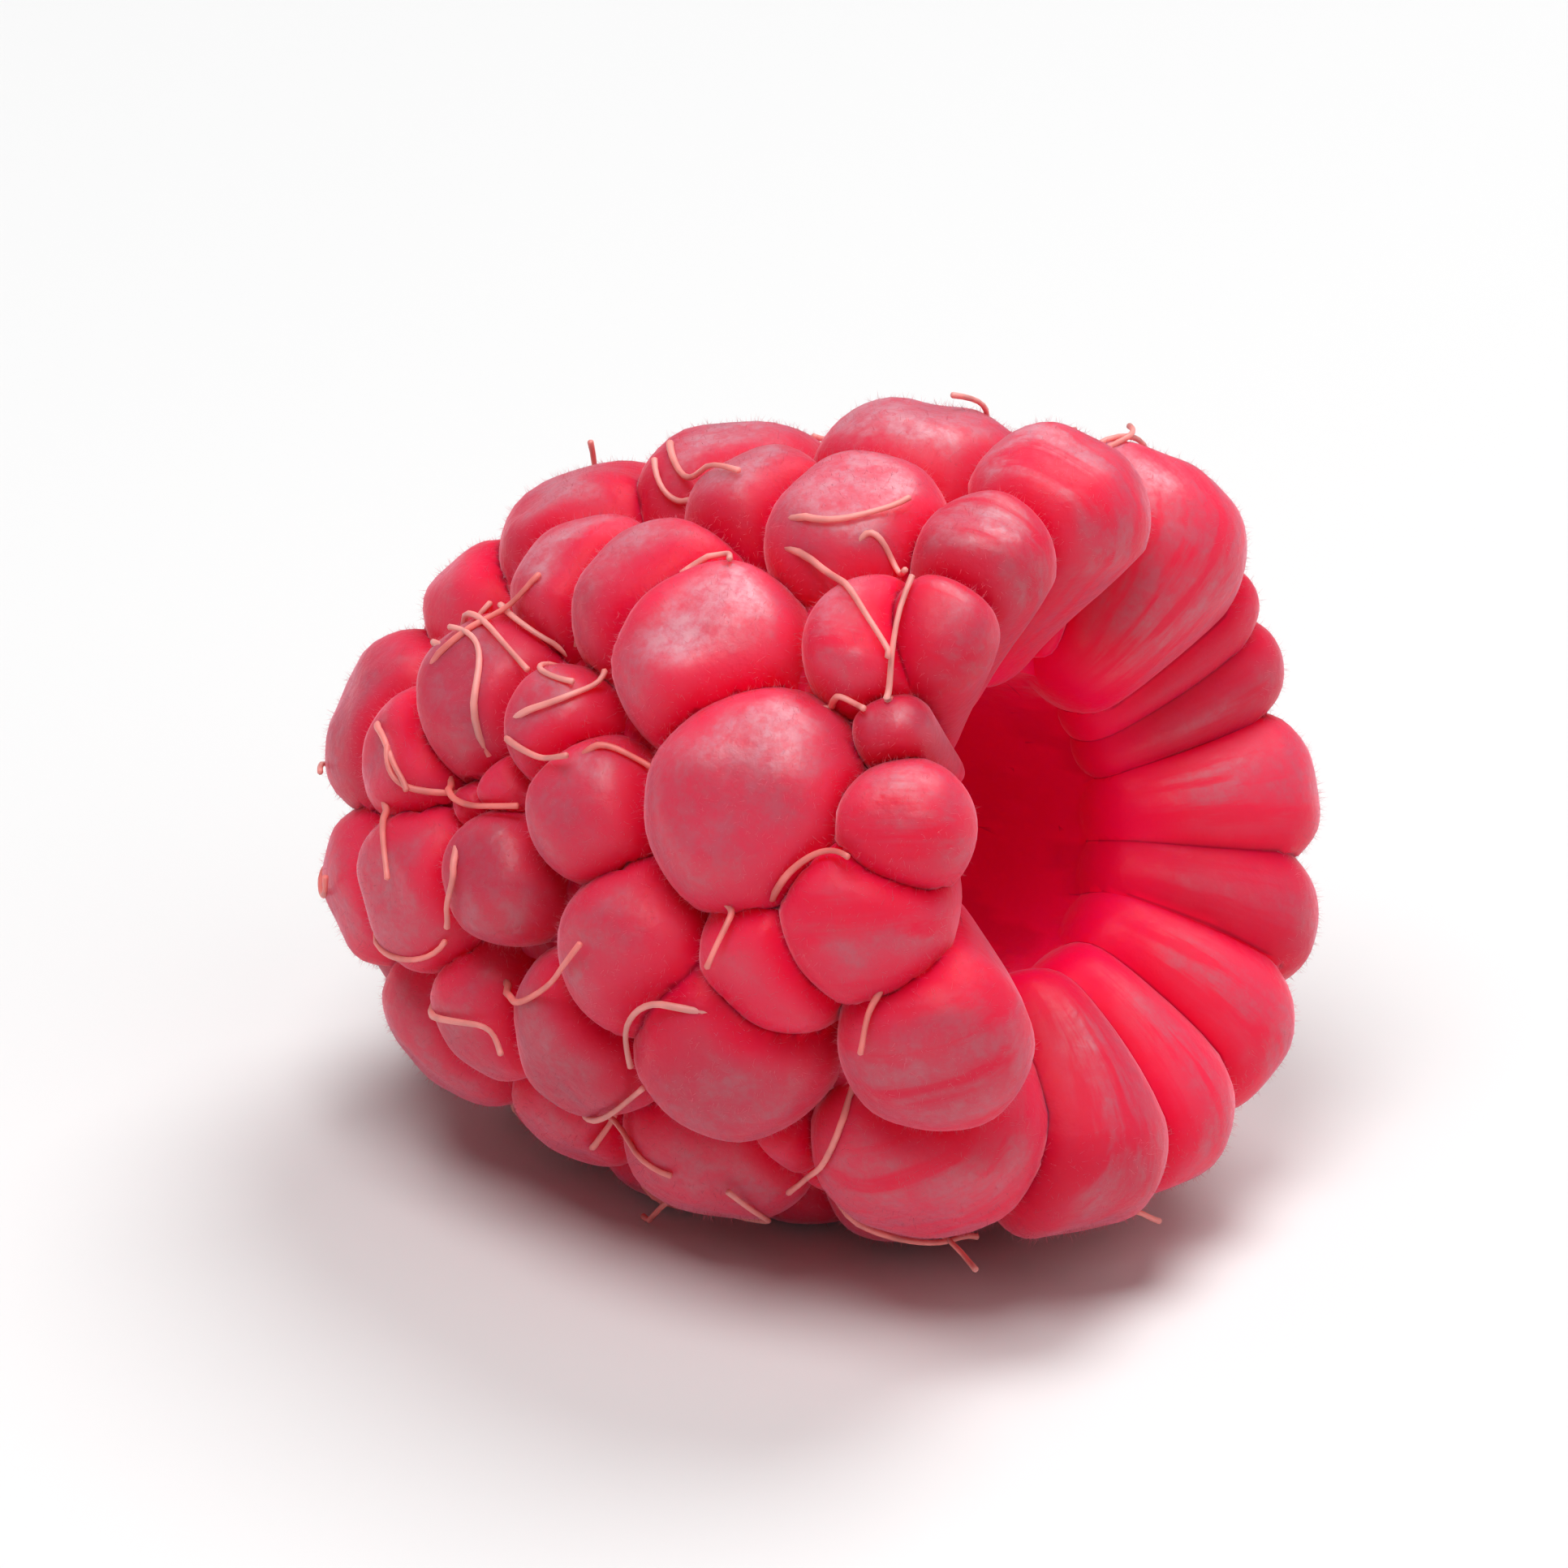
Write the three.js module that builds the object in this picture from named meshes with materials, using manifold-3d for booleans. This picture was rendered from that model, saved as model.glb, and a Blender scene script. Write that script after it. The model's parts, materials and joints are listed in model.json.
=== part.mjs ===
// A picked raspberry, lying on its side as it comes to rest on a table.
// Units are millimetres. +Z is up, the hollow opens towards +X, a little upwards, and the origin is
// on the table under the middle of the berry.
//
// The berry is one solid. Its drupelets are teardrops that stand side by side on a hollow core.
// Each has a full round dome outside, and narrows to a small foot at the wall of the hollow. They
// are worked out in the berry's own frame, whose x axis is the axis of the fruit, with x = 0 at the
// crest of the rim and the tip at negative x, and the whole berry is then laid down.

import * as THREE from "three";
import { mergeVertices } from "three/addons/utils/BufferGeometryUtils.js";
import Module from "manifold-3d";

const wasm = await Module();
wasm.setup();

const degrees = THREE.MathUtils.degToRad;
const SMALL_TURN = degrees(1);

// The ellipse, turned round the axis, that the domes are centred on.
const BELLY_X = -6.6; // its widest place
const HALF_LENGTH = 14.4; // from the belly to the tip
const HALF_WIDTH = 8.5; // from the axis to the belly
const BLUNTNESS = 0.9; // exponent under 1 that makes the tip blunter than an ellipse
const RIM_TURN = degrees(108); // where it ends at the rim, as a turn counted from the tip

// The hollow that the stalk's cone leaves when the berry is picked: a slimmer half ellipse.
const MOUTH_X = -3.4;
const MOUTH_RADIUS = 3.9;
const HOLLOW_DEPTH = 15;

// The drupelets, by rows from the rim to the tip.
const ROWS = [16, 14, 14, 13, 11, 8, 3];
const ROW_STEP = 0.147; // from one row to the next, as a share of the turn from rim to tip
const MEAN_RADIUS = 2.27;
const RADIUS_SPREAD = 0.22; // largest change from the mean, as a share of it
const ROW_WAVER = 0.25; // largest shift out of its row, as a share of the step
const ANGLE_WAVER = 0.2; // largest shift along its row, as a share of the step

// The drupelets that give this berry its face: turn from the tip, angle from the top towards the
// front, and radius.
const NOTED = [
  [109, 107, 2.5],
  [105, 83, 2.3],
  [110, 68, 1.8],
  [104, 36, 1.85],
  [110, 33, 1.6],
  [111, 14, 1.8],
  [112, -10, 2.35],
  [108, -50, 2.9],
  [108, -83, 1.9],
  [108, -108, 2.6],
  [108, -128, 2.65],
  [108, -150, 2.7],
  [94, 64, 3],
  [87, 104, 2.85],
  [86, 39, 2.65],
  [96, 11, 2.45],
  [93, -19, 2.9],
  [100, 136, 3],
  [75, 65, 2],
  [80, 89, 2.55],
  [75, 136, 2.65],
  [69, 106, 2.4],
  [77, 27, 2.4],
  [69, 50, 1.7],
  [61, 77, 1.85],
  [56, 41, 2.35],
  [46, 80, 2.4],
  [29, 32, 2.75],
  [44, 4, 2.4],
  [72, -14, 2.9],
  [57, -6, 3.05],
];

// How the drupelets settle between each other.
const SPREAD = 1.05; // distance kept at first, as a share of the sum of two neighbours' radii
const CLOSENESS = 0.81; // and at last
const SETTLING_PASSES = 120;
const SETTLING_SPEED = 0.3; // share of the crowding that one pass takes away
const NEIGHBOURS = 5; // how many of the nearest decide how much a drupelet swells
const SWELLING_SPEED = 0.15; // share of the room between them that it fills in one pass
const MOST_SWELLING = 1.15; // largest change of its radius, as a factor
const LEAST_ROOM = 0.68; // share under which a drupelet is crowded out

// The low drupelets that grow in the gaps between the others.
const LEAST_GAP = 0.25; // the widest gap that is left open, from its middle to the nearest drupelet
const GAP_STEPS = 72; // places tried from the tip to the rim
const GAP_SIDES = 120; // and round the axis

// The shape of one drupelet.
const LEAST_HEIGHT = 1; // height of its dome: this and
const HEIGHT_SHARE = 0.42; // this share of its radius
const DOME_RINGS = [1, 0.9, 0.62, 0]; // heights of the rings of its dome, as shares of the whole
const DOME_BULGE = 0.68; // exponent under 1 that makes it fuller than a ball
const WAIST = [0.98, -0.45]; // width and depth of a place half way down its foot
const FOOT = [0.94, -0.85]; // and of the place where it closes
const FOOT_BULGE = 0.25; // how far a foot stands into the hollow
const BULGING_ROWS = 2; // rows from the rim whose feet do
const SUNK_FOOT = 0.5; // how far inside the wall the others end
const RIM_THINNING = 0.6; // how much of its thickness a drupelet of the rim loses to its foot
const CORE_RISE = 0.15; // how far over the domes' centres it goes

// Facets.
const SIDES = 10;
const CORE_SIDES = 28;
const CORE_STEPS = 9;
const TOLERANCE = 0.03; // for leaving out needless corners

// How the berry lies.
const LEAN = degrees(14); // the mouth is higher than the tip
const RIM_FORWARD = 10.1; // of the middle of the rim from the middle of the berry
const RIM_HEIGHT = 11.9; // of the same place over the table
const TABLE_SIZE = 60; // of the block that stands for it

const FLESH = { color: 0xc4203c, roughness: 0.5, metalness: 0 };

// A number from 0 to 1 that looks random and is the same on every machine.
function draw(item, kind) {
  const wave = Math.sin(item * 12.9898 + kind * 78.233) * 43758.5453;
  return wave - Math.floor(wave);
}

// A point in the berry's own frame, from its place along the axis, its distance from the axis and
// its angle round it, counted from the top towards the front.
function around(x, radius, angle) {
  return new THREE.Vector3(x, -radius * Math.sin(angle), radius * Math.cos(angle));
}

// Where a dome is centred.
function domeCentre(turn, angle) {
  const radius = HALF_WIDTH * Math.sin(turn) ** BLUNTNESS;
  return around(BELLY_X - HALF_LENGTH * Math.cos(turn), radius, angle);
}

// The place on the wall of the hollow where that drupelet's foot stands.
function footPlace(turn, angle) {
  const quarter = (turn / RIM_TURN) * (Math.PI / 2);
  const x = MOUTH_X - HOLLOW_DEPTH * Math.cos(quarter);
  return around(x, MOUTH_RADIUS * Math.sin(quarter), angle);
}

// The place a little over the centre of a dome at the top of the berry, away from its foot.
function overCentre(turn) {
  const centre = domeCentre(turn, 0);
  const outwards = centre.clone().sub(footPlace(turn, 0)).normalize();
  return centre.addScaledVector(outwards, CORE_RISE);
}

// The turn and angle at which a point lies, off the ellipse or on it.
function turnAndAngle(point) {
  const radius = (Math.hypot(point.y, point.z) / HALF_WIDTH) ** (1 / BLUNTNESS);
  const turn = Math.atan2(radius, (BELLY_X - point.x) / HALF_LENGTH);
  return { turn: Math.min(turn, RIM_TURN), angle: Math.atan2(-point.y, point.z) };
}

// The drupelets in their rows, before they settle.
function rowsOfDrupelets() {
  const drupelets = [];
  ROWS.forEach((count, row) => {
    for (let i = 0; i < count; i++) {
      const item = drupelets.length;
      const radius = MEAN_RADIUS * (1 + RADIUS_SPREAD * (2 * draw(item, 1) - 1));
      const shift = row ? ROW_WAVER * (2 * draw(item, 2) - 1) : 0;
      const turn = RIM_TURN * (1 - ROW_STEP * (row + shift));
      const place = i + 0.5 * (row % 2) + ANGLE_WAVER * (2 * draw(item, 3) - 1);
      const angle = (2 * Math.PI * place) / count;
      drupelets.push({ radius, firstRadius: radius, row, centre: domeCentre(turn, angle) });
    }
  });
  return drupelets;
}

// The one of some drupelets whose distance, as a function tells it, is the least.
function nearest(drupelets, distance) {
  return drupelets.reduce((best, one) => (distance(one) < distance(best) ? one : best));
}

// Each noted drupelet takes the place of the nearest of the others.
function placeNoted(drupelets) {
  for (const [turn, angle, radius] of NOTED) {
    const centre = domeCentre(degrees(turn), degrees(angle));
    const loose = drupelets.filter((one) => !one.fixed);
    const taken = nearest(loose, (one) => one.centre.distanceTo(centre));
    Object.assign(taken, { radius, centre, fixed: true });
  }
}

// How far off its nearest neighbours are from a drupelet, as a share of the sum of the radii.
function roomOf(one, drupelets) {
  const shares = drupelets.map(({ centre, radius }) => {
    return centre.distanceTo(one.centre) / (radius + one.radius);
  });
  const least = shares.sort((a, b) => a - b).slice(1, NEIGHBOURS + 1);
  return least.reduce((sum, share) => sum + share) / NEIGHBOURS;
}

// Neighbours that crowd each other push apart along the ellipse, and each drupelet swells where it
// has room and stays small where it has none.
function settle(drupelets) {
  for (let pass = 0; pass < SETTLING_PASSES; pass++) {
    const share = THREE.MathUtils.lerp(SPREAD, CLOSENESS, pass / SETTLING_PASSES);
    const changes = drupelets.map((one) => {
      const push = new THREE.Vector3();
      for (const other of drupelets) {
        if (other === one) continue;
        const apart = one.centre.clone().sub(other.centre);
        const crowding = share * (one.radius + other.radius) - apart.length();
        if (crowding > 0) push.addScaledVector(apart.normalize(), SETTLING_SPEED * crowding);
      }
      return { push, swelling: 1 + SWELLING_SPEED * (roomOf(one, drupelets) / share - 1) };
    });
    drupelets.forEach((one, i) => {
      if (one.fixed) return;
      const least = one.firstRadius / MOST_SWELLING;
      const most = one.firstRadius * MOST_SWELLING;
      one.radius = THREE.MathUtils.clamp(one.radius * changes[i].swelling, least, most);
      const { turn, angle } = turnAndAngle(one.centre.clone().add(changes[i].push));
      one.centre = domeCentre(one.row ? turn : RIM_TURN, angle);
    });
  }
}

// Low drupelets grow in the gaps that are left, the widest gap first.
function fillGaps(drupelets) {
  const places = [];
  for (let i = 0; i <= GAP_STEPS; i++) {
    for (let j = 0; j < GAP_SIDES; j++) {
      places.push(domeCentre((RIM_TURN * i) / GAP_STEPS, (2 * Math.PI * j) / GAP_SIDES));
    }
  }
  for (;;) {
    let widest = { gap: 0 };
    for (const centre of places) {
      const room = (one) => one.centre.distanceTo(centre) - one.radius;
      const beside = nearest(drupelets, room);
      if (room(beside) > widest.gap) widest = { gap: room(beside), beside, centre };
    }
    if (widest.gap < LEAST_GAP) return;
    const reach = (widest.gap + widest.beside.radius) / CLOSENESS;
    const radius = reach - widest.beside.radius;
    drupelets.push({ radius, row: ROWS.length, centre: widest.centre, low: true });
  }
}

// A solid from a geometry. Only positions count: equal corners are merged, and the flat triangles
// that a lathe leaves on its axis are dropped.
function solidOf(geometry) {
  geometry.deleteAttribute("normal");
  geometry.deleteAttribute("uv");
  const merged = mergeVertices(geometry);
  const corners = [];
  for (let i = 0; i < merged.index.count; i += 3) {
    const [a, b, c] = merged.index.array.slice(i, i + 3);
    if (a !== b && b !== c && c !== a) corners.push(a, b, c);
  }
  const vertProperties = merged.attributes.position.array;
  const triVerts = new Uint32Array(corners);
  return new wasm.Manifold(new wasm.Mesh({ numProp: 3, vertProperties, triVerts }));
}

// The outline of a drupelet from the end of its foot to the top of its dome. y is 1 at the top,
// 0 where the dome is widest and -1 at the foot. x is the width as a share of the radius.
function drupeletOutline() {
  const dome = DOME_RINGS.map((height) => [Math.sqrt(1 - height ** 2) ** DOME_BULGE, height]);
  return [...dome, WAIST, FOOT, [0, -1]].map(([x, y]) => new THREE.Vector2(x, y)).reverse();
}

// One drupelet: the outline turned round. The dome is raised over its centre, and what is below is
// stretched to the foot and narrows as the hollow is narrower than the berry.
function drupeletSolid({ radius, row, centre, low }) {
  const { turn, angle } = turnAndAngle(centre);
  const foot = footPlace(turn, angle);
  const up = centre.clone().sub(foot).normalize();
  foot.addScaledVector(up, row < BULGING_ROWS ? -FOOT_BULGE : SUNK_FOOT);
  const depth = centre.distanceTo(foot);
  const height = low ? radius : LEAST_HEIGHT + HEIGHT_SHARE * radius;
  const across = around(0, 1, angle - Math.PI / 2);
  const along = new THREE.Vector3().crossVectors(across, up);
  const spacing = (place) => place(turn, angle).distanceTo(place(turn - SMALL_TURN, angle));
  const fromAxis = (place) => Math.hypot(place(turn, angle).y, place(turn, angle).z);
  const narrowAlong = spacing(footPlace) / spacing(domeCentre);
  const narrowAcross = fromAxis(footPlace) / fromAxis(domeCentre);

  const geometry = new THREE.LatheGeometry(drupeletOutline(), SIDES);
  const position = geometry.attributes.position;
  const corner = new THREE.Vector3();
  for (let i = 0; i < position.count; i++) {
    corner.fromBufferAttribute(position, i);
    const below = Math.max(0, -corner.y);
    const thinned = 1 - (row ? 0 : RIM_THINNING) * below ** 2;
    const point = centre.clone().addScaledVector(up, corner.y * (below ? depth : height));
    point.addScaledVector(across, corner.x * radius * (1 - below * (1 - narrowAcross)));
    point.addScaledVector(along, corner.z * radius * thinned * (1 - below * (1 - narrowAlong)));
    position.setXYZ(i, ...point);
  }
  return solidOf(geometry);
}

// The hollow core that the drupelets stand on, from inside their domes to the wall of the hollow.
function coreSolid() {
  const outline = [];
  const onProfile = (point) => new THREE.Vector2(Math.hypot(point.y, point.z), point.x);
  const turns = Array.from({ length: CORE_STEPS + 1 }, (_, i) => (RIM_TURN * i) / CORE_STEPS);
  outline.push(...turns.map((turn) => onProfile(overCentre(turn))));
  outline.push(...turns.reverse().map((turn) => onProfile(footPlace(turn, 0))));
  const geometry = new THREE.LatheGeometry(outline, CORE_SIDES);
  geometry.rotateZ(-Math.PI / 2);
  return solidOf(geometry);
}

// The table takes away what would sink into it, which leaves the lowest drupelets a flat spot.
function layDown(berry) {
  const place = new THREE.Matrix4().makeRotationY(-LEAN).setPosition(RIM_FORWARD, 0, RIM_HEIGHT);
  const table = new THREE.BoxGeometry(TABLE_SIZE, TABLE_SIZE, TABLE_SIZE);
  table.translate(0, 0, -TABLE_SIZE / 2);
  return berry.transform(place.elements).subtract(solidOf(table));
}

// The outer body alone, without the pockets that are closed in between drupelets.
function withoutPockets(solid) {
  const bodies = solid.decompose();
  return bodies.reduce((best, one) => (one.volume() > best.volume() ? one : best));
}

function geometryOf(solid) {
  const { vertProperties, triVerts } = solid.getMesh();
  const geometry = new THREE.BufferGeometry();
  geometry.setAttribute("position", new THREE.BufferAttribute(vertProperties, 3));
  geometry.setIndex(new THREE.BufferAttribute(triVerts, 1));
  geometry.computeVertexNormals();
  return geometry;
}

const seeds = rowsOfDrupelets();
placeNoted(seeds);
settle(seeds);
const drupelets = seeds.filter((one) => one.fixed || roomOf(one, seeds) > LEAST_ROOM);
fillGaps(drupelets);
const grown = wasm.Manifold.union([coreSolid(), ...drupelets.map(drupeletSolid)]);
const berry = withoutPockets(layDown(grown).simplify(TOLERANCE));

const raspberry = new THREE.Mesh(geometryOf(berry), new THREE.MeshStandardMaterial(FLESH));
raspberry.name = "raspberry";

const model = new THREE.Group();
model.add(raspberry);
export default model;
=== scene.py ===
"""A picked raspberry on a pale floor: its drupelets fused round the hollow, and its dried styles.

The berry's own frame has x along the axis of the fruit, with x = 0 at the crest of the rim and the
tip at negative x. Places on it are given as a turn, counted from the tip, and an angle round the
axis, counted from the top towards the front. Lengths in that frame are in millimetres, and
lay_down() carries them to the scene in metres.
"""

import json
import math

import bpy
import numpy as np
from bpy.props import FloatProperty, FloatVectorProperty, IntProperty, PointerProperty
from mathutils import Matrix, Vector

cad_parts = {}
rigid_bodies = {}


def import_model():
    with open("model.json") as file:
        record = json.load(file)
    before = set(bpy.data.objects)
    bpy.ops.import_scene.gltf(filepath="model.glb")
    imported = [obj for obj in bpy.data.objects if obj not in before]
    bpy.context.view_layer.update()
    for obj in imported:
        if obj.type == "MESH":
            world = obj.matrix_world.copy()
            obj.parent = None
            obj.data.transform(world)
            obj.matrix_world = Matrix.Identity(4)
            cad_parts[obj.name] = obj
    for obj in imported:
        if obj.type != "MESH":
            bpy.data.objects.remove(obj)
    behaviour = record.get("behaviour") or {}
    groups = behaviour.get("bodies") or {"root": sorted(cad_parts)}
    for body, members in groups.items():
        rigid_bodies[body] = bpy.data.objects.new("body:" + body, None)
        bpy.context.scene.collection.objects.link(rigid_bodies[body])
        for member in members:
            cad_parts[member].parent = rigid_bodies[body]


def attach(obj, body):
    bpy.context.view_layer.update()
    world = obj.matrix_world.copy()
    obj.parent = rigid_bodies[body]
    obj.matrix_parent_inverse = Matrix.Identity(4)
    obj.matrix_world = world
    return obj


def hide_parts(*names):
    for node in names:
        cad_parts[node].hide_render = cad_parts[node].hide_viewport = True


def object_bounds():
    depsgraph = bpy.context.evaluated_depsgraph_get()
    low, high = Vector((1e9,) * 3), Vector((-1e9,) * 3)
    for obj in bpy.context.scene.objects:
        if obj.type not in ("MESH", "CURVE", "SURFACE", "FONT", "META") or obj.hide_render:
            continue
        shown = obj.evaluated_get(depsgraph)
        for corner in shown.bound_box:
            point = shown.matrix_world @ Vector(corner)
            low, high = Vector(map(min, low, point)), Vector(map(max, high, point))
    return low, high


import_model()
CAD_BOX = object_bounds()

bl_info = {
    "name": "Raspberry",
    "version": (1, 0, 0),
    "blender": (4, 5, 0),
    "location": "3D View > Sidebar > Raspberry",
    "description": "Builds a picked raspberry with its styles, lying on a pale floor",
    "category": "Object",
}

NODE = "raspberry"
BODY = "root"
MM = 0.001
SEED = 7

# The ellipse, turned round the axis, that the domes are centred on.
BELLY_X = -6.6
HALF_LENGTH = 14.4
HALF_WIDTH = 8.5
BLUNTNESS = 0.9
RIM_TURN = math.radians(108)

# The hollow.
MOUTH_X = -3.4
MOUTH_RADIUS = 3.9
HOLLOW_DEPTH = 15

# The drupelets, by rows from the rim to the tip.
ROWS = (16, 14, 14, 13, 11, 8, 3)
ROW_STEP = 0.147
ROW_WAVER = 0.25
ANGLE_WAVER = 0.2
MEAN_RADIUS = 2.27
RADIUS_SPREAD = 0.22

# Those that give this berry its face: turn and angle in degrees, and radius.
NOTED = (
    (109, 107, 2.5), (105, 83, 2.3), (110, 68, 1.8), (104, 36, 1.85), (110, 33, 1.6),
    (111, 14, 1.8), (112, -10, 2.35), (108, -50, 2.9), (108, -83, 1.9), (108, -108, 2.6),
    (108, -128, 2.65), (108, -150, 2.7), (94, 64, 3), (87, 104, 2.85), (86, 39, 2.65),
    (96, 11, 2.45), (93, -19, 2.9), (100, 136, 3), (75, 65, 2), (80, 89, 2.55),
    (75, 136, 2.65), (69, 106, 2.4), (77, 27, 2.4), (69, 50, 1.7), (61, 77, 1.85),
    (56, 41, 2.35), (46, 80, 2.4), (29, 32, 2.75), (44, 4, 2.4), (72, -14, 2.9),
    (57, -6, 3.05),
)

# The dried styles that are seen best: turn and angle at their root, middle and end, in degrees.
NOTED_STYLES = (
    ((92, 22), (103, 33), (108, 43)),
    ((97, 78), (102, 72), (106, 71)),
    ((92, 78), (93, 81), (91, 86)),
    ((107, 92), (106, 95), (104, 99)),
    ((100, 111), (93, 124), (84, 136)),
    ((65, 51), (72, 48), (75, 43)),
    ((64, 53), (69, 56), (75, 58)),
    ((75, 58), (78, 55), (82, 58)),
    ((52, 58), (56, 63), (65, 65)),
    ((57, 69), (59, 76), (56, 84)),
    ((59, 96), (66, 94), (77, 83)),
    ((46, 103), (55, 101), (63, 102)),
    ((63, 120), (71, 115), (77, 108)),
    ((62, 130), (65, 126), (67, 121)),
    ((68, -8), (74, 3), (83, 10)),
    ((53, 21), (61, 31), (67, 35)),
    ((56, 38), (48, 30), (51, 19)),
    ((46, 25), (58, 33), (66, 42)),
    ((82, 28), (85, 25), (88, 28)),
    ((100, 49), (103, 47), (106, 49)),
    ((91, 18), (98, 20), (103, 13)),
    ((101, -25), (105, -38), (103, -52)),
    ((103, -30), (107, -36), (104, -42)),
    ((105, -40), (103, -46), (107, -51)),
    ((43, 62), (46, 69), (49, 76)),
    ((99, 23), (102, 20), (107, 27)),
    ((40, 46), (46, 52), (50, 61)),
)

# How they settle between each other.
SPREAD = 1.05  # distance over the sum of the radii under which they push at first
CLOSENESS = 0.81  # and in the end
SETTLING_PASSES = 120
SETTLING_SPEED = 0.3
NEIGHBOURS = 5
SWELLING_SPEED = 0.15
MOST_SWELLING = 1.15
LEAST_ROOM = 0.68

# The low ones that grow in the gaps between the others.
LEAST_GAP = 0.25
GAP_STEPS = 72
GAP_SIDES = 120

# The shape of one drupelet.
LEAST_HEIGHT = 1
HEIGHT_SHARE = 0.42  # a dome is LEAST_HEIGHT and this share of its radius high
DOME_BULGE = 0.68  # under 1, so that a dome is fuller than a ball
FOOT_BULGE = 0.25  # how far the rim's feet stand into the hollow
INNER_BULGE = -0.5  # and the others, which end inside its wall
BULGING_ROWS = 1
RIM_THINNING = 0.6  # how much of its thickness one at the rim loses to its foot
FOOT_POWER = 20
FOOT_ROUNDING = 0.4
OUTLINE_WAVES = ((2, 0.02, 5), (3, 0.015, 6))  # waves round it, their share and kind of draw

# The core that the feet stand on, a little over the domes' centres outside.
CORE_RISE = 0.15
CORE_SIDES = 96
CORE_STEPS = 40

# The skin: the grooves between drupelets, and its unevenness.
GROOVE_DEPTH = 0.35
GROOVE_REACH = 0.45
DENT_DEPTH = 0.05
DENT_WAVES = 9
DENT_LENGTHS = (1.56, 2.08)  # the least, and what a draw adds
SMOOTH_UNDER = 0.2  # how near the floor the unevenness ends
GRAIN_STRETCH = 0.1
CHUNKS = 40  # the points are worked through in this many parts

# The painted highlight: pale patches painted on the skin that faces up, as the berry lies,
# standing in for the light overhead. The way that skin faces, and how the patches fade with how
# squarely the skin faces that way, and with its height over the floor.
HIGHLIGHT_WAY = np.array([-0.15, -0.3, 0.94])
HIGHLIGHT_FACING = (0.6, 0.97)
HIGHLIGHT_POWER = 1.5
HIGHLIGHT_HEIGHTS = (12, 18)
LEAST_HIGHLIGHT = 0.15
HIGHLIGHT_SPREAD = 0.5

# How the skin is found from the ellipse: from HIGHEST in to LOWEST by steps, then by halves.
HIGHEST = 3.0
LOWEST = -2.5
SEEKING_STEPS = 45
HALVINGS = 8

# The styles. Those that aren't noted start at the foot of their dome.
STYLE_ROOT = 0.85  # as a share of the drupelet's radius
STYLE_REACH = (1.8, 2.2)  # the least, and what a draw adds
STYLE_BEND = 0.8
NOTED_LIFT = (0.1, 0.5)  # how high the free ends stand: the least, and what a draw adds
LIFT_POWER = 2.5
STYLE_STEPS = 16
STYLE_SIDES = 8
WAVE_WIDTH = 0.14
WAVES = (0.3, 0.7)  # how many waves along a style: the least, and what a draw adds
EVENING_PASSES = 6
ROOT_LENGTH = 0.6  # how far along it a style comes out of the skin
ROOT_DEPTH = 0.25
LYING = 0.45  # how far its middle lies over the skin, as a share of its thickness
TAPER = 0.45
KNOB = 0.25  # how much of its width its end gains back
KNOB_POWER = 8
TUBE_TIP = 0.6  # how far a tube's end point stands out, in radii
STYLE_CLEARANCE = 0.05  # between a style and the floor

# The velvet.
HAIR_LEAN = 0.55
SHORTEST_HAIR = 0.5  # as a share of the usual length
VELVET_FLOOR = 0.4  # how near the floor it ends
HAIR_FACES = np.array([[0, 1, 3], [1, 2, 3], [2, 0, 3], [2, 1, 0]])

# Noise in the skin: scale, detail and roughness.
BLOTCH = (1100, 5, 0.65)
FLECK = (3600, 3, 0.6)
STREAK = (12, 4, 0.6)
SWELL = (800, 3, 0.6)
FLECK_HEIGHT = 0.5  # the height of a fleck, as a share of a swelling's
MIDDLING = (0.3, 0.7)  # the range that most of a noise is in
WAVER = 0.3  # how far blotches shift the borders between the colours

# Where each colour of the skin starts and is full, by the distance from a crease or the dome.
OUTSIDE = (-1.0, -0.5)
RIM = (0.05, 0.38)
MIDDLE = (0.3, 0.85)
INSIDE = (-0.55, -0.95)
# The dark line in a crease is painted shade.
CREASE_SHADE = (0.0, 0.06, 0.65, 1.0)  # the dark line in a crease, and what it multiplies by

# How blotches, flecks and streaks thin the middle's colour: a range of noise, and its outcome.
BLOTCHED = (0.38, 0.62, 0.45, 1.0)
FLECKED = (0.36, 0.6, 0.65, 1.0)
STRIPED = (0.42, 0.62, 0.0, 0.9)
STRIPED_RIM = -0.5
# How far the painted highlight pales the middle's colour.
HIGHLIGHT_SHARE = 0.75
TONES = (0.0, 1.0, 0.82, 1.08)
ROUGHNESS_RANGE = (-0.05, 0.08)
COATED = (0.3, 0.8, 1.0, 0.2)  # where the coat lies, by Facing, and how much of it

# The mottling of the other materials: scale, darkest and lightest.
STYLE_MOTTLE = (900, 0.75, 1.15)
VELVET_MOTTLE = (500, 0.8, 1.1)
FLOOR_MOTTLE = (6, 0.985, 1.0)

# The stage. The lights: name, azimuth, elevation, distance and width.
LIGHTS = (
    ("key", 5, 70, 0.5, 0.3),
    ("back", 172, 58, 0.5, 0.3),
    ("fill", 78, 45, 0.6, 0.5),
)
FLOOR_HALF = 2.0
LENS = 270
NEAREST = 0.01

# How the berry lies.
LEAN = math.radians(14)
RIM_FORWARD = 10.1
RIM_HEIGHT = 11.9


def around(x, radius, angle):
    """A point from its place along the axis, its distance from it and its angle round it."""
    x, radius, angle = np.broadcast_arrays(x, radius, angle)
    return np.stack([x, -radius * np.sin(angle), radius * np.cos(angle)], axis=-1)


def dome_centre(turn, angle):
    """Where a dome is centred: an ellipse whose sine is raised to BLUNTNESS, turned round x."""
    radius = HALF_WIDTH * np.sin(turn) ** BLUNTNESS
    return around(BELLY_X - HALF_LENGTH * np.cos(turn), radius, angle)


def foot_place(turn, angle):
    """Where that drupelet's foot stands: a half ellipse along the wall of the hollow."""
    quarter = turn / RIM_TURN * math.pi / 2
    x = MOUTH_X - HOLLOW_DEPTH * np.cos(quarter)
    return around(x, MOUTH_RADIUS * np.sin(quarter), angle)


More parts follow.
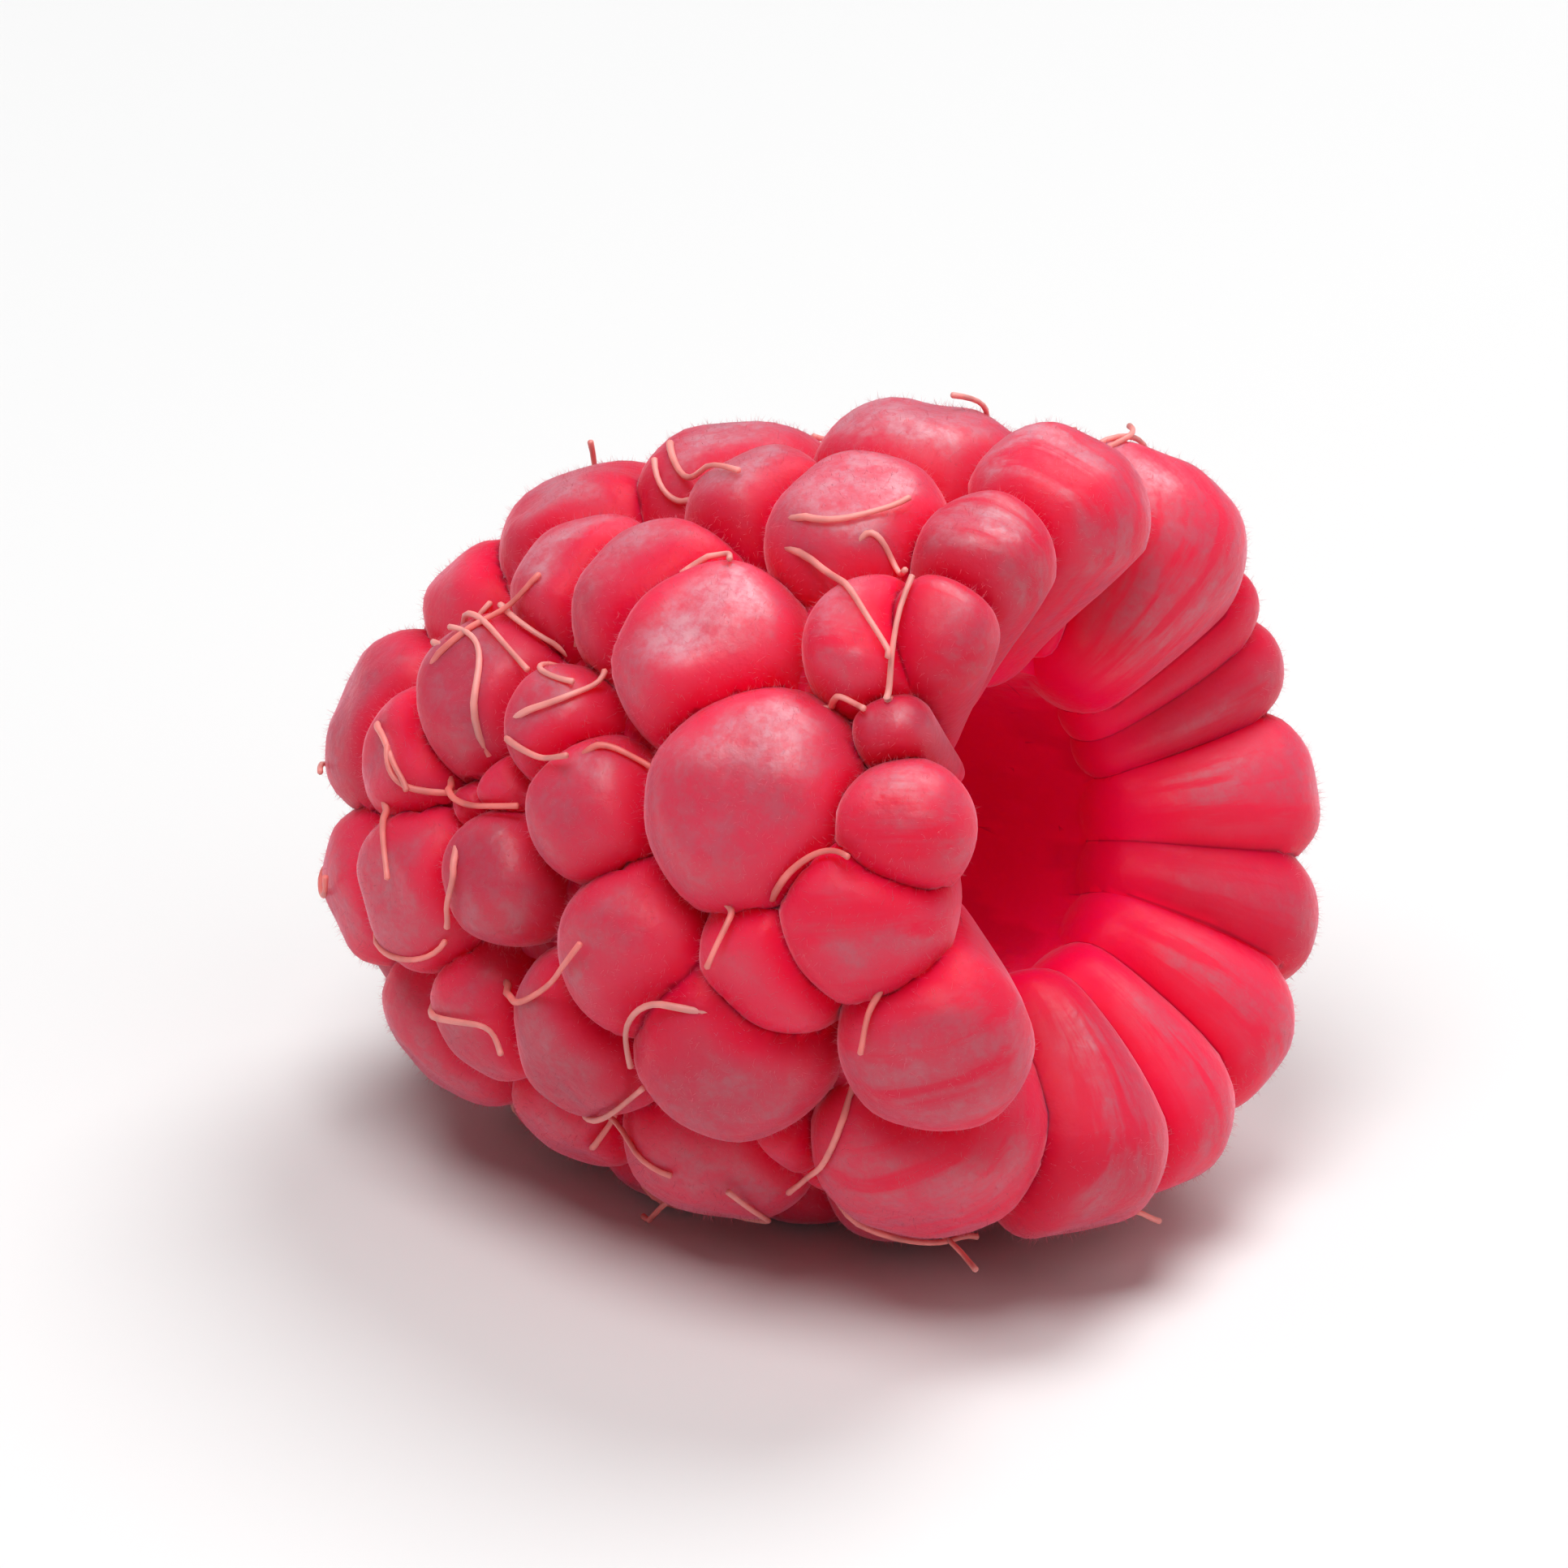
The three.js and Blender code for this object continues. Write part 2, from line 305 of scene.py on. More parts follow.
def over_centre(turn, angle):
    """The place a little over the centre of a dome, away from its foot."""
    centre = dome_centre(turn, angle)
    return centre + CORE_RISE * unit(centre - foot_place(turn, angle))


def turn_and_angle(points):
    """The turn and angle at which points lie, off the ellipse or on it."""
    radius = (np.hypot(points[..., 1], points[..., 2]) / HALF_WIDTH) ** (1 / BLUNTNESS)
    turn = np.arctan2(radius, (BELLY_X - points[..., 0]) / HALF_LENGTH)
    return np.minimum(turn, RIM_TURN), np.arctan2(-points[..., 1], points[..., 2])


def lay_down(points):
    """Millimetres in the berry's own frame to metres in the scene: a lean about y, and a shift."""
    x, y, z = points[..., 0], points[..., 1], points[..., 2]
    out = [
        x * math.cos(LEAN) - z * math.sin(LEAN) + RIM_FORWARD,
        y,
        x * math.sin(LEAN) + z * math.cos(LEAN) + RIM_HEIGHT,
    ]
    return np.stack(out, axis=-1) * MM


def draw(item, kind):
    """Numbers from 0 to 1 that look random and are the same on every machine.

    The sine of item and kind, times a large number, less its whole part. Each use of it has a
    kind of its own.
    """
    wave = np.sin(np.asarray(item) * 12.9898 + kind * 78.233) * 43758.5453
    return wave - np.floor(wave)


def lengths(vectors):
    return np.linalg.norm(vectors, axis=-1)


def unit(vectors):
    return vectors / np.maximum(lengths(vectors), 1e-12)[..., None]


class Drupelets:
    """All the drupelets, settled: arrays of their rows, radii, places and own axes."""

    def __init__(self):
        self.place_rows()
        self.place_noted()
        self.settle()
        self.crowd_out()
        self.fill_gaps()
        self.find_axes()

    def place_rows(self):
        """Rows from the rim to the tip, each place and radius shifted by a draw of its own."""
        self.row = np.repeat(np.arange(len(ROWS)), ROWS)
        count = np.repeat(ROWS, ROWS)
        item = np.arange(len(self.row))
        in_row = item - np.repeat(np.cumsum(ROWS) - ROWS, ROWS)
        self.radius = MEAN_RADIUS * (1 + RADIUS_SPREAD * (2 * draw(item, 1) - 1))
        shift = np.where(self.row > 0, ROW_WAVER * (2 * draw(item, 2) - 1), 0)
        turn = RIM_TURN * (1 - ROW_STEP * (self.row + shift))
        place = in_row + 0.5 * (self.row % 2) + ANGLE_WAVER * (2 * draw(item, 3) - 1)
        self.centre = dome_centre(turn, 2 * math.pi * place / count)
        self.first_radius = self.radius.copy()
        self.noted = np.zeros(len(item), bool)

    def place_noted(self):
        """Each noted drupelet takes the place of the nearest of the others."""
        for turn, angle, radius in NOTED:
            centre = dome_centre(math.radians(turn), math.radians(angle))
            distance = lengths(self.centre - centre) + np.where(self.noted, np.inf, 0)
            nearest = np.argmin(distance)
            self.centre[nearest] = centre
            self.radius[nearest] = radius
            self.noted[nearest] = True

    def room(self):
        """How far off its nearest neighbours are from each, as a share of the sum of the radii."""
        shares = lengths(self.centre[:, None] - self.centre[None])
        shares /= self.radius[:, None] + self.radius[None]
        return np.sort(shares, axis=1)[:, 1 : NEIGHBOURS + 1].mean(axis=1)

    def settle(self):
        """Crowding neighbours push apart along the ellipse, and each swells where it has room."""
        free = ~self.noted
        for step in range(SETTLING_PASSES):
            share = SPREAD + (CLOSENESS - SPREAD) * step / SETTLING_PASSES
            apart = self.centre[:, None] - self.centre[None]
            distance = lengths(apart)
            np.fill_diagonal(distance, np.inf)
            reach = self.radius[:, None] + self.radius[None]
            crowding = np.maximum(share * reach - distance, 0)
            push = (unit(apart) * (SETTLING_SPEED * crowding)[..., None]).sum(axis=1)
            swollen = self.radius * (1 + SWELLING_SPEED * (self.room() / share - 1))
            least = self.first_radius / MOST_SWELLING
            most = self.first_radius * MOST_SWELLING
            self.radius = np.where(free, np.clip(swollen, least, most), self.radius)
            turn, angle = turn_and_angle(self.centre + push)
            moved = dome_centre(np.where(self.row > 0, turn, RIM_TURN), angle)
            self.centre = np.where(free[:, None], moved, self.centre)

    def crowd_out(self):
        """Those that have too little room don't grow."""
        kept = self.noted | (self.room() > LEAST_ROOM)
        self.row, self.radius = self.row[kept], self.radius[kept]
        self.centre, self.noted = self.centre[kept], self.noted[kept]

    def fill_gaps(self):
        """Low drupelets grow in the gaps that are left, the widest gap first."""
        turn = np.linspace(0, RIM_TURN, GAP_STEPS + 1)[:, None]
        angle = np.linspace(0, 2 * math.pi, GAP_SIDES, endpoint=False)[None]
        places = dome_centre(turn, angle).reshape(-1, 3)
        while True:
            room = lengths(places[:, None] - self.centre[None]) - self.radius
            gap = room.min(axis=1)
            widest = np.argmax(gap)
            if gap[widest] < LEAST_GAP:
                return
            beside = self.radius[np.argmin(room[widest])]
            self.centre = np.concatenate([self.centre, places[widest : widest + 1]])
            self.radius = np.append(self.radius, (gap[widest] + beside) / CLOSENESS - beside)
            self.row = np.append(self.row, len(ROWS))
            self.noted = np.append(self.noted, False)

    def find_axes(self):
        """Each one's way up, the two ways across it, and how much it narrows to its foot."""
        small = math.radians(1)
        self.turn, self.angle = turn_and_angle(self.centre)
        foot = foot_place(self.turn, self.angle)
        self.up = unit(self.centre - foot)
        bulge = np.where(self.row < BULGING_ROWS, FOOT_BULGE, INNER_BULGE)
        self.foot = foot - self.up * bulge[:, None]
        self.depth = lengths(self.centre - self.foot)
        usual = LEAST_HEIGHT + HEIGHT_SHARE * self.radius
        self.height = np.where(self.row < len(ROWS), usual, self.radius)
        self.across = around(0, 1, self.angle - math.pi / 2)
        self.along = np.cross(self.across, self.up)
        inner = lengths(foot - foot_place(self.turn - small, self.angle))
        outer = lengths(self.centre - dome_centre(self.turn - small, self.angle))
        self.narrow_along = inner / outer
        self.thinning = np.where(self.row > 0, 0, RIM_THINNING)
        self.narrow_across = np.hypot(foot[:, 1], foot[:, 2]) / np.hypot(*self.centre[:, 1:].T)

    def depths(self, points):
        """How far out of each drupelet points lie: under 1 inside it, 1 on its skin.

        Over the centre it is the root of h squared plus w to the power 2 / DOME_BULGE, and under
        it the same with the foot's own powers, where h is the height and w the width as shares.
        """
        offset = points[:, None] - self.centre[None]
        rise = np.einsum("pdk,dk->pd", offset, self.up)
        across = np.einsum("pdk,dk->pd", offset, self.across)
        along = np.einsum("pdk,dk->pd", offset, self.along)
        below = np.clip(-rise / self.depth, 0, None)
        narrowed = np.minimum(below, 1)
        wide = self.radius * (1 - narrowed * (1 - self.narrow_across))
        long = self.radius * (1 - narrowed * (1 - self.narrow_along))
        long = long * (1 - self.thinning * narrowed**2)
        width = np.sqrt((across / wide) ** 2 + (along / long) ** 2)
        over = np.sqrt(width ** (2 / DOME_BULGE) + (rise / self.height) ** 2)
        under = (width ** (1 / FOOT_ROUNDING) + below**FOOT_POWER) ** 0.5
        return np.where(rise > 0, over, under)


DRUPELETS = Drupelets()


def skin_height(turn, angle):
    """How far the skin stands above the ellipse, going out from the foot through each place.

    Steps in from well outside to the first point inside a drupelet, then halves the step.
    """
    centre = dome_centre(turn, angle)
    up = unit(centre - foot_place(turn, angle))
    high = np.full(turn.shape, HIGHEST)
    low = np.full(turn.shape, LOWEST)
    steps = np.linspace(HIGHEST, LOWEST, SEEKING_STEPS)
    found = np.zeros(turn.shape, bool)
    for above, below in zip(steps[:-1], steps[1:]):
        inside = DRUPELETS.depths(centre + below * up).min(axis=1) < 1
        new = inside & ~found
        high = np.where(new, above, high)
        low = np.where(new, below, low)
        found |= inside
    for _ in range(HALVINGS):
        middle = (high + low) / 2
        inside = DRUPELETS.depths(centre + middle[:, None] * up).min(axis=1) < 1
        low = np.where(inside, middle, low)
        high = np.where(inside, high, middle)
    return centre, up, low


def teardrop(index, sides, dome_steps, foot_steps):
    """One drupelet as a closed surface of two parameters: the way down its outline, and round it.

    Down the dome the height is the cosine of a turn and the width its sine to DOME_BULGE. Below,
    the depth goes to 1 and the width is 1 minus depth to FOOT_POWER, to FOOT_ROUNDING. The width
    then narrows to the foot, and wavers a little round the drupelet.
    """
    d = DRUPELETS
    turn = np.linspace(0, math.pi / 2, dome_steps + 1)
    sunk = 1 - (1 - np.linspace(0, 1, foot_steps + 1)[1:]) ** 2
    height = np.concatenate([np.cos(turn), -sunk])
    foot_width = np.maximum(1 - sunk**FOOT_POWER, 0) ** FOOT_ROUNDING
    width = np.concatenate([np.sin(turn) ** DOME_BULGE, foot_width])
    height, width = height[1:-1, None], width[1:-1, None]
    round_it = np.linspace(0, 2 * math.pi, sides, endpoint=False)[None]
    waver = 1
    for waves, share, kind in OUTLINE_WAVES:
        waver = waver + share * np.sin(waves * round_it + 2 * math.pi * draw(index, kind))
    below = np.maximum(-height, 0)
    wide = d.radius[index] * waver * width * (1 - below * (1 - d.narrow_across[index]))
    long = d.radius[index] * waver * width * (1 - below * (1 - d.narrow_along[index]))
    long *= 1 - d.thinning[index] * below**2
    rise = np.where(height > 0, height * d.height[index], height * d.depth[index])
    rings = (
        d.centre[index]
        + rise[..., None] * d.up[index]
        + (wide * np.cos(round_it))[..., None] * d.across[index]
        + (long * np.sin(round_it))[..., None] * d.along[index]
    )
    top = d.centre[index] + d.up[index] * d.height[index]
    return closed_rings(rings, top, d.foot[index])


def closed_rings(rings, first, last):
    """Vertices and faces of rings of points between two end points, facing outwards."""
    steps, sides = rings.shape[:2]
    verts = np.concatenate([first[None], rings.reshape(-1, 3), last[None]])
    here = 1 + np.arange(steps * sides).reshape(steps, sides)
    beside = np.roll(here, -1, axis=1)
    quads = np.stack([here[:-1], beside[:-1], beside[1:], here[1:]], axis=-1).reshape(-1, 4)
    start = np.stack([np.zeros(sides, int), beside[0], here[0]], axis=-1)
    end = np.stack([np.full(sides, steps * sides + 1), here[-1], beside[-1]], axis=-1)
    return verts, [*quads.tolist(), *start.tolist(), *end.tolist()]


def core_surface(sides, steps):
    """The hollow core, closed: a line inside the domes and the hollow's wall, turned round x."""
    turn = np.linspace(0, RIM_TURN, steps + 1)[1:, None]
    angle = np.linspace(0, 2 * math.pi, sides, endpoint=False)[None]
    outside = over_centre(turn, angle)
    inside = foot_place(turn[::-1], angle)
    first = over_centre(0.0, 0.0)
    last = foot_place(0.0, 0.0)
    return closed_rings(np.concatenate([outside, inside]), first, last)


def tubes(paths, sideways, radii, sides):
    """Many tapered tubes at once: rings round each path, closed by a point at each end.

    A ring's points are the path's point plus its radius times the cosine and sine of a turn,
    along two directions square to the path. paths is (tubes, steps, 3) and radii (tubes, steps).
    """
    count, steps = radii.shape
    ahead = unit(np.gradient(paths, axis=1))
    first = unit(np.cross(ahead, sideways))
    second = np.cross(ahead, first)
    turn = np.linspace(0, 2 * math.pi, sides, endpoint=False)
    rings = (
        paths[:, :, None]
        + (radii[:, :, None] * np.cos(turn))[..., None] * first[:, :, None]
        + (radii[:, :, None] * np.sin(turn))[..., None] * second[:, :, None]
    )
    ends = [0, -1]
    outwards = ahead[:, ends] * [[[-TUBE_TIP], [TUBE_TIP]]]
    tips = paths[:, ends] + outwards * radii[:, ends, None]
    verts = np.concatenate([rings.reshape(count, -1, 3), tips], axis=1)
    each = steps * sides + 2
    here = np.arange(steps * sides).reshape(steps, sides)
    beside = np.roll(here, -1, axis=1)
    quads = np.stack([here[:-1], beside[:-1], beside[1:], here[1:]], axis=-1).reshape(-1, 4)
    start = np.stack([np.full(sides, each - 2), beside[0], here[0]], axis=-1)
    end = np.stack([np.full(sides, each - 1), here[-1], beside[-1]], axis=-1)
    shift = each * np.arange(count)[:, None, None]
    faces = []
    for part in (quads, start, end):
        faces += (part[None] + shift).reshape(-1, part.shape[1]).tolist()
    return verts.reshape(-1, 3), faces


def new_mesh(name, verts, faces):
    mesh = bpy.data.meshes.new(name)
    mesh.from_pydata(np.asarray(verts).tolist(), [], faces)
    mesh.update()
    return mesh


def new_object(name, data, collection=None):
    obj = bpy.data.objects.new(name, data)
    (collection or bpy.context.scene.collection).objects.link(obj)
    return obj


def new_piece(name, mesh, material):
    """A finished piece of the berry, which rides on the CAD body and has one slot, for the
    material given.
    """
    mesh.materials.clear()
    mesh.materials.append(material)
    mesh.polygons.foreach_set("material_index", np.zeros(len(mesh.polygons), np.int32))
    obj = new_object(name, mesh)
    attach(obj, BODY)
    return obj


def read(items, name, kind=np.int32, width=1):
    """One value of each vertex, edge or face of a mesh, as an array with a row for each."""
    values = np.empty(len(items) * width, kind)
    items.foreach_get(name, values)
    return values.reshape(-1, width) if width > 1 else values


def outer_body(mesh):
    """The largest body of the mesh alone: the others are pockets closed in by the union."""
    a, b = read(mesh.edges, "vertices", width=2).T
    label = np.arange(len(mesh.vertices))
    while True:
        low = np.minimum(label[a], label[b])
        joined = label.copy()
        np.minimum.at(joined, a, low)
        np.minimum.at(joined, b, low)
        joined = joined[joined]
        if np.array_equal(joined, label):
            break
        label = joined
    names, sizes = np.unique(label, return_counts=True)
    keep = label == names[np.argmax(sizes)]
    if keep.all():
        return mesh
    corners = read(mesh.loops, "vertex_index")
    starts, totals = read(mesh.polygons, "loop_start"), read(mesh.polygons, "loop_total")
    fresh = np.cumsum(keep) - 1
    kept = keep[corners[starts]]
    faces = [
        fresh[corners[start : start + total]].tolist()
        for start, total in zip(starts[kept], totals[kept])
    ]
    return new_mesh(mesh.name, read(mesh.vertices, "co", float, 3)[keep], faces)


def union(core, parts):
    """Joins closed surfaces into one with a Boolean modifier, and returns its mesh."""
    box = bpy.data.collections.new("drupelets")
    bpy.context.scene.collection.children.link(box)
    for i, (verts, faces) in enumerate(parts):
        new_object(f"drupelet_{i}", new_mesh(f"drupelet_{i}", verts, faces), box)
    base = new_object("core", new_mesh("core", *core))
    joining = base.modifiers.new("join", "BOOLEAN")
    joining.operation = "UNION"
    joining.operand_type = "COLLECTION"
    joining.collection = box
    joining.solver = "MANIFOLD"
    depsgraph = bpy.context.evaluated_depsgraph_get()
    mesh = bpy.data.meshes.new_from_object(base.evaluated_get(depsgraph))
    for obj in [*box.objects, base]:
        spare = obj.data
        bpy.data.objects.remove(obj)
        bpy.data.meshes.remove(spare)
    bpy.data.collections.remove(box)
    return mesh


def add_attribute(mesh, name, values):
    attribute = mesh.attributes.new(name, "FLOAT", "POINT")
    attribute.data.foreach_set("value", np.asarray(values, np.float32))


def skin_attributes(points):
    """For each point of the skin: how far from a crease, how high on its dome, and its owner."""
    edge, dome, owner = [], [], []
    for part in np.array_split(points, CHUNKS):
        depths = DRUPELETS.depths(part)
        nearest = np.partition(depths, 1, axis=1)[:, :2]
        own = np.argmin(depths, axis=1)
        rise = ((part - DRUPELETS.centre[own]) * DRUPELETS.up[own]).sum(axis=1)
        edge.append(np.clip(nearest[:, 1] - nearest[:, 0], 0, 1))
        over, under = rise / DRUPELETS.height[own], rise / DRUPELETS.depth[own]
        dome.append(np.clip(np.where(rise > 0, over, under), -1, 1))
        owner.append(own)
    return np.concatenate(edge), np.concatenate(dome), np.concatenate(owner)


def dents(points):
    """Unevenness of the skin: the sum of sine waves, each with a way and length of its own."""
    wave = np.arange(DENT_WAVES)
    way = unit(np.stack([draw(wave, kind) for kind in (21, 22, 23)], axis=-1) - 0.5)
    long = DENT_LENGTHS[0] + DENT_LENGTHS[1] * draw(wave, 24)
    heights = np.sin(2 * math.pi * (points @ way.T / long + draw(wave, 25)))
    return DENT_DEPTH * heights.sum(axis=-1) / math.sqrt(DENT_WAVES / 2)


def berry_mesh(sides, crease_angle):
    """The fused body: drupelets and core joined, laid down, flat where it would pass the floor.

    The skin sinks along its drupelet's own way up, by the square of how near the crease is, and
    by its unevenness. Its attributes are the distance from a crease (edge), the height on the
    dome (dome), a draw for each drupelet (tone), whether it is at the rim (petal), a place that
    runs along the drupelets (grain), and the painted highlight on the skin that faces up.
    """
    parts = [teardrop(i, sides, sides // 4, sides // 4) for i in range(len(DRUPELETS.row))]
    mesh = outer_body(union(core_surface(CORE_SIDES, CORE_STEPS), parts))
    mesh.name = "berry"
    points = read(mesh.vertices, "co", float, 3)
    edge, dome, owner = skin_attributes(points)
    outside = np.clip(2 * dome + 1, 0, 1)
    over_floor = np.clip(lay_down(points)[:, 2] / MM - SMOOTH_UNDER, 0, 1)
    sunk = GROOVE_DEPTH * np.clip(1 - edge / GROOVE_REACH, 0, 1) ** 2
    sunk = (sunk + dents(points) * over_floor) * outside
    points -= sunk[:, None] * DRUPELETS.up[owner]
    laid = lay_down(points)
    laid[:, 2] = np.maximum(laid[:, 2], 0)
    mesh.vertices.foreach_set("co", laid.ravel())
    add_attribute(mesh, "edge", edge)
    add_attribute(mesh, "dome", dome)
    add_attribute(mesh, "tone", draw(owner, 7))
    add_attribute(mesh, "petal", DRUPELETS.row[owner] == 0)
    turn, angle = turn_and_angle(points)
    grain = np.stack([np.cos(angle), np.sin(angle), GRAIN_STRETCH * (turn + dome)], axis=-1)
    attribute = mesh.attributes.new("grain", "FLOAT_VECTOR", "POINT")
    attribute.data.foreach_set("vector", grain.astype(np.float32).ravel())
    mesh.shade_smooth()
    mesh.set_sharp_from_angle(angle=crease_angle)
    mesh.update()
    normals = read(mesh.vertex_normals, "vector", np.float32, 3)
    # Painted highlight: paler skin where it faces up towards the light, more of it high over the
    # floor, and more on some drupelets than others.
    facing = np.interp(normals @ HIGHLIGHT_WAY, HIGHLIGHT_FACING, (0, 1))
    high_up = np.maximum(np.interp(laid[:, 2] / MM, HIGHLIGHT_HEIGHTS, (0, 1)), LEAST_HIGHLIGHT)
    highlight_draw = 1 - HIGHLIGHT_SPREAD * (1 - draw(owner, 8))
    add_attribute(mesh, "highlit", facing**HIGHLIGHT_POWER * high_up * highlight_draw)
    return mesh


def style_places():
    """Three places in the berry's frame for each style, its root, middle and end, and its lift.

    The noted ones come first. Each drupelet that isn't noted and isn't at the rim has one too,
    from its dome outwards.
    """
    d = DRUPELETS
    turn, angle = np.radians(NOTED_STYLES).transpose(2, 0, 1)
    noted = dome_centre(turn, angle)
    item = np.flatnonzero((d.row > 0) & ~d.noted)
    heading = 2 * math.pi * draw(item, 11)
    reach = STYLE_REACH[0] + STYLE_REACH[1] * draw(item, 12)
    bend = STYLE_BEND * (draw(item, 13) - 0.5)
    out = np.stack([np.cos(heading), np.sin(heading)], axis=-1)
    side = np.stack([-out[:, 1], out[:, 0]], axis=-1)
    places = []
    for share, swerve in ((0.0, 0.0), (0.5, 1.0), (1.0, 0.0)):
        flat = out * (STYLE_ROOT * d.radius[item, None] + share * reach[:, None])
        flat = flat + side * (swerve * bend * reach)[:, None]
        point = d.centre[item] + flat[:, :1] * d.along[item] + flat[:, 1:] * d.across[item]
        places.append(point)
    lift = NOTED_LIFT[0] + NOTED_LIFT[1] * draw(np.arange(len(noted)), 14) ** 2
    lift = np.concatenate([lift, draw(item, 14) ** 2])
    return np.concatenate([noted, np.stack(places, axis=1)]), lift


def styles_mesh(thickness):
    """Dried styles: tubes along curves that lie over the drupelets and lift at their free end.

    Each curve is the parabola through its three places, with a sine wave across it that grows
    from the root, carried onto the skin. Its height is the skin's, evened out so that it spans
    the creases, and starts in the skin itself.
    """
    places, lift = style_places()
    count = len(places)
    t = np.linspace(0, 1, STYLE_STEPS)[None, :, None]
    first, middle, last = places[:, None, 0], places[:, None, 1], places[:, None, 2]
    flat = (2 * t - 1) * (t - 1) * first + 4 * t * (1 - t) * middle + t * (2 * t - 1) * last
    item = np.arange(count)[:, None, None]
    waves = WAVES[0] + WAVES[1] * draw(item, 16)
    wave = WAVE_WIDTH * t * np.sin(2 * math.pi * (waves * t + draw(item, 17)))
    flat = flat + wave * unit(np.cross(last - first, first - [BELLY_X, 0, 0]))
    turn, angle = turn_and_angle(flat)
    centre, up, height = skin_height(turn.ravel(), angle.ravel())
    shape = (count, STYLE_STEPS)
    centre, up, height = centre.reshape(*shape, 3), up.reshape(*shape, 3), height.reshape(shape)
    even = height.copy()
    for _ in range(EVENING_PASSES):
        padded = np.pad(even, ((0, 0), (1, 1)), mode="edge")
        mean = (padded[:, :-2] + padded[:, 1:-1] + padded[:, 2:]) / 3
        even = np.maximum(mean, height)
    along = t[..., 0]
    reach = lengths(places[:, 2] - places[:, 0])
    rooted = np.clip(along * reach[:, None] / ROOT_LENGTH, 0, 1)
    even = height + (even - height) * rooted
    even = even - ROOT_DEPTH * (1 - rooted) + LYING * thickness * rooted
    even = even + lift[:, None] * along**LIFT_POWER
    width = 1 - TAPER * along + KNOB * along**KNOB_POWER
    radii = thickness / 2 * width * np.ones(shape) * MM
    paths = lay_down(centre + up * even[..., None])
    paths[..., 2] = np.maximum(paths[..., 2], (thickness + STYLE_CLEARANCE) * MM)
    upwards = unit(lay_down(up) - lay_down(0 * up))
    mesh = new_mesh("styles", *tubes(paths, upwards, radii, STYLE_SIDES))
    mesh.shade_smooth()
    corners = STYLE_STEPS * STYLE_SIDES + 2
    add_attribute(mesh, "tone", np.repeat(draw(np.arange(count), 15), corners))
    return mesh


def velvet_mesh(berry, count, length, thickness):
    """Short hairs all over the outside: each a thin spike of four faces that leans its own way.

    Its root is drawn on the triangles, by their area. A spike's three root corners stand round
    that at thirds of a turn, square to its way, and its tip stands its length along it.
    """
    rng = np.random.default_rng(SEED)
    berry.calc_loop_triangles()
    corners = read(berry.loop_triangles, "vertices", width=3)
    points = read(berry.vertices, "co", float, 3)
    dome = read(berry.attributes["dome"].data, "value", np.float32)
    a, b, c = points[corners].transpose(1, 0, 2)
    normal = np.cross(b - a, c - a)
    off_floor = points[corners, 2].min(axis=1) > VELVET_FLOOR * MM
    outside = (dome[corners].min(axis=1) > 0) & off_floor
    area = np.where(outside, lengths(normal), 0)
    chosen = rng.choice(len(area), size=count, p=area / area.sum())
    mix = rng.dirichlet((1, 1, 1), size=count)
    root = (points[corners[chosen]] * mix[..., None]).sum(axis=1)
    way = unit(unit(normal[chosen]) + HAIR_LEAN * rng.standard_normal((count, 3)))
    long = length * MM * (SHORTEST_HAIR + rng.random(count))
    across = unit(np.cross(way, rng.standard_normal((count, 3))))
    beside = np.cross(way, across)
    turn = np.array([0, 2, 4])[None, :, None] * math.pi / 3
    ring = np.cos(turn) * across[:, None] + np.sin(turn) * beside[:, None]
    ring = root[:, None] + thickness / 2 * MM * ring
    tip = (root + long[:, None] * way)[:, None]
    verts = np.concatenate([ring, tip], axis=1).reshape(-1, 3)
    faces = (HAIR_FACES + 4 * np.arange(count)[:, None, None]).reshape(-1, 3)
    return new_mesh("velvet", verts, faces.tolist())


def node_of(tree, kind, **values):
    """A new node with the values given."""
    node = tree.nodes.new(kind)
    for name, value in values.items():
        setattr(node, name, value)
    return node


def attribute_value(tree, name, output="Fac"):
    return node_of(tree, "ShaderNodeAttribute", attribute_name=name).outputs[output]


def mixed(tree, share, first, second, blend="MIX"):
    """A Mix Color node: share, first and second are sockets or plain values."""
    node = node_of(tree, "ShaderNodeMix", data_type="RGBA", blend_type=blend)
    for index, value in ((0, share), (6, first), (7, second)):
        plug(tree, node.inputs[index], value)
    return node.outputs[2]


def plug(tree, socket, value):
    """Links a socket to another, or sets it to a plain value."""
    if isinstance(value, bpy.types.NodeSocket):
        tree.links.new(value, socket)
    else:
        socket.default_value = value


def fill(tree, node, values):
    """Plugs a socket or a plain value into each input of a node that is named."""
    for name, value in values.items():
        plug(tree, node.inputs[name], value)
    return node.outputs


def ranged(tree, value, low, high, out_low=0.0, out_high=1.0, kind="SMOOTHSTEP"):
    """A Map Range node, from low and high to out_low and out_high."""
    node = node_of(tree, "ShaderNodeMapRange", interpolation_type=kind)
    ends = {"From Min": low, "From Max": high, "To Min": out_low, "To Max": out_high}
    return fill(tree, node, {"Value": value, **ends})["Result"]


def maths(tree, operation, first, second=0.0, third=0.0):
    node = node_of(tree, "ShaderNodeMath", operation=operation)
    for socket, value in zip(node.inputs, (first, second, third)):
        plug(tree, socket, value)
    return node.outputs[0]


def product(tree, value, *others):
    for other in others:
        value = maths(tree, "MULTIPLY", value, other)
    return value


def noise(tree, place, scale, detail=2.0, roughness=0.5):
    node = node_of(tree, "ShaderNodeTexNoise")
    values = {"Vector": place, "Scale": scale, "Detail": detail, "Roughness": roughness}
    return fill(tree, node, values)["Fac"]


